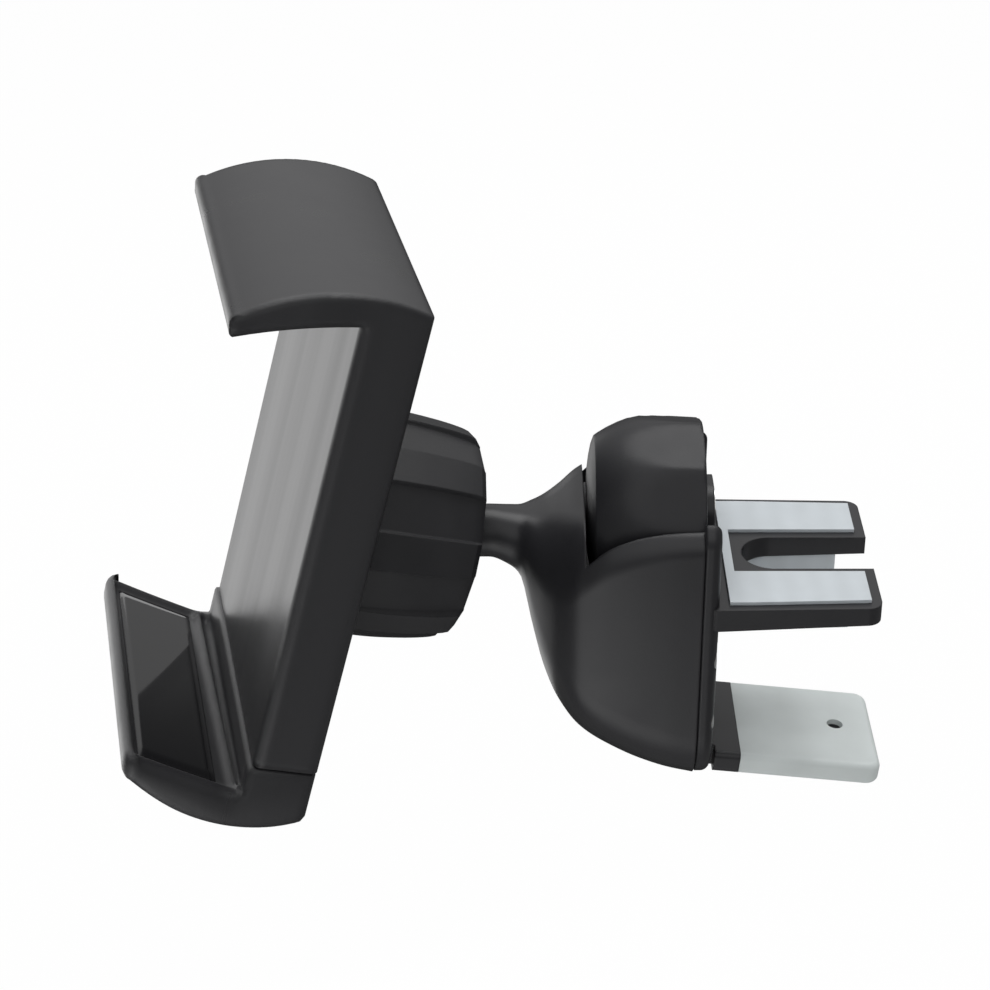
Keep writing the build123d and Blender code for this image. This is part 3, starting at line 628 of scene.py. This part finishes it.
collar = make_collar()
collar.data.materials.append(collar_black)
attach(collar, "collar")
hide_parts("collar")


# Cradle frame with the upper phone jaw, its back cover, pad and screws
# Satin black moulding with fine upright marks from the polished steel mould.
# The cover is screwed on from behind, over the two pull springs.

STREAK_STRETCH = (1.0, 1.0, 40.0)
cradle_black = moulded_plastic("cradle_black", black, roughness=0.30, grain=5000.0, grain_depth=0.00002,
                               streak=(tuple(CRADLE_TURN), STREAK_STRETCH), edge=1.3)
pad_black = moulded_plastic("pad_black", (0.004, 0.004, 0.005), roughness=0.05, grain=3000.0,
                            grain_depth=0.000002)
paint(cradle_black, "cradle_frame", "back_cover")
paint(pad_black, "upper_jaw_pad")
paint(steel, "back_screws", "spring_left", "spring_right")


# Lower phone jaw and its pad
# The same black plastic as the frame, moulded in one with the slider plate that
# the springs pull up. The thin glossy pad lies in the dished tray.

JAW_HALF = 20.5
JAW_BACK = 7.2
JAW_REACH = 13.7
# Where the frame's lower end meets the jaw, and the jaw's step up to it
JAW_SEAM = -24.0
# Width over which the side edges are round, and how far they come in
JAW_ROUND = 1.7
ROUND_SHARE = 0.62
ROUND_TOP = 1.75
ROUND_UNDER = 1.0
ROUND_NOSE = 1.3
ROUND_BACK = 0.9
TRAY_ROOT = -27.6
TRAY_SLOPE = 0.235
TRAY_CURVE = 0.0018
TRAY_DEPTH = 0.8
RIDGE_HEIGHT = 0.75
RIDGE_HALF = 0.33
RIDGE_START = -1.9
# Station and height of the underside's nose, crest and rear edge
UNDERSIDE = [(-12.9, -27.4), (-3.25, -31.6), (7.2, -30.2)]
# Distance behind the jaw's tip, and height, up the rounded nose
JAW_NOSE = [
    (0.35, -26.95), (0.08, -26.5), (0.0, -26.0), (0.0, -24.9), (0.1, -24.5), (0.35, -24.2), (0.7, -24.05),
]
SLIDER_FRONT = 1.8
SLIDER_REAR = 3.2
SLIDER_HALF = 13.4
SLIDER_FOOT = -26.7
SLIDER_TOP = 11.0


def ease(value, start, end):
    """Zero before the start, one after the end, smooth between."""
    t = min(max((value - start) / (end - start), 0.0), 1.0)
    return t * t * (3.0 - 2.0 * t)


def tray_height(x, y):
    """Height of the tray's inner face: a gentle dish inside a rim, with a ridge along the root."""
    slope = TRAY_ROOT - TRAY_SLOPE * x + TRAY_CURVE * x * x
    dish = ease(x, -12.9, -12.2) * ease(y, -19.3, -18.4) * (1.0 - ease(y, 18.9, 19.6))
    ridge_x = RIDGE_START + 0.9 * (20.0 - y) / 40.0 + 0.8 * ease(-y, 17.4, 20.3)
    ridge = RIDGE_HEIGHT * math.exp(-((x - ridge_x) / RIDGE_HALF) ** 2) * ease(dish, 0.0, 0.6)
    return slope - TRAY_DEPTH * dish + ridge


def jaw_underside(x):
    """Height of the jaw's arched underside, the parabola through its three points."""
    total = 0.0
    for n, (at, height) in enumerate(UNDERSIDE):
        for other, _ in UNDERSIDE[:n] + UNDERSIDE[n + 1:]:
            height *= (x - other) / (at - other)
        total += height
    return total


def jaw_outline(y):
    """Side view of the lower jaw at y, thinner where its side edges are round."""
    over = max(abs(y) - (JAW_HALF - JAW_ROUND), 0.0)
    close = (1.0 - math.sqrt(max(1.0 - (over / JAW_ROUND) ** 2, 0.0))) * ROUND_SHARE
    inner = [1.0 - JAW_REACH + (JAW_REACH - 1.6) * n / 70 for n in range(71)]
    points = [(x, tray_height(x, y) - ROUND_TOP * close * (1.0 - ease(x, -3.0, 0.0))) for x in inner]
    foot = points[-1][1]
    points += [(-0.5, foot), (-0.36, foot + 0.25), (-0.34, JAW_SEAM - 0.4), (-0.2, JAW_SEAM - 0.05),
               (0.1, JAW_SEAM)]
    points += [(JAW_BACK - 0.3, JAW_SEAM), (JAW_BACK, JAW_SEAM - 0.2), (JAW_BACK, -29.3),
               (JAW_BACK - 0.3, -29.9)]
    start = JAW_BACK - 0.9
    end = 0.9 - JAW_REACH
    under = [start + (end - start) * n / 24 for n in range(25)]
    points += [(x, jaw_underside(x)) for x in under]
    points += [(x - JAW_REACH, z) for x, z in JAW_NOSE]
    ring = []
    for x, z in points:
        lift = ROUND_UNDER * close if z < jaw_underside(x) + 0.05 else 0.0
        inward = ROUND_NOSE * ease(-x, 6.0, 13.5) - ROUND_BACK * ease(x, 3.0, JAW_BACK)
        ring.append(cradle_point(x + close * inward, y, z + lift))
    return ring


def side_stations():
    """Places across the jaw, close together where its side edges are round."""
    count = 10
    bends = [JAW_ROUND * (1.0 - math.cos(math.radians(90.0 * n / count))) for n in range(count + 1)]
    near = [-JAW_HALF + bend for bend in bends]
    straight = 2.0 * (JAW_HALF - JAW_ROUND)
    middle = [-JAW_HALF + JAW_ROUND + straight * n / 60 for n in range(1, 60)]
    return near + middle + [-y for y in reversed(near)]


def slider_plate():
    """Flat plate that runs in the frame."""
    across = ((-SLIDER_HALF, SLIDER_FOOT), (SLIDER_HALF, SLIDER_FOOT), (SLIDER_HALF, SLIDER_TOP),
              (-SLIDER_HALF, SLIDER_TOP))
    return skin("slider", [[cradle_point(x, y, z) for y, z in across] for x in (SLIDER_FRONT, SLIDER_REAR)])


def make_lower_jaw():
    """Tray and slider plate in one."""
    jaw = skin("tray", [jaw_outline(y) for y in side_stations()])
    combine(jaw, slider_plate(), "UNION")
    smooth(jaw, 38.0)
    return jaw


def make_tray_pad():
    """Glossy pad lying in the tray, a thin sheet with a rounded upper edge."""
    near, far = -18.3, 18.7
    front, root = -12.05, -3.05
    rise, edge_rise, sink, edge_width = 0.32, 0.08, -0.25, 0.3
    rings = []
    for n in range(41):
        y = near + (far - near) * n / 40
        edge = min(y - near, far - y, edge_width)
        lift = rise - 0.25 * (1.0 - edge / edge_width) ** 2
        top = [(front + (root - front) * m / 24, lift) for m in range(25)]
        top[0] = (front, edge_rise)
        top[-1] = (root, edge_rise)
        under = [(x, sink) for x, _ in reversed(top)]
        rings.append([cradle_point(x, y, tray_height(x, y) + z) for x, z in top + under])
    pad = skin("tray_pad", rings)
    smooth(pad, 40.0)
    return pad


lower_jaw = make_lower_jaw()
lower_jaw.data.materials.append(cradle_black)
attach(lower_jaw, "lower_jaw")
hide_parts("lower_jaw")

tray_pad = make_tray_pad()
tray_pad.data.materials.append(pad_black)
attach(tray_pad, "lower_jaw")
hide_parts("lower_jaw_pad")
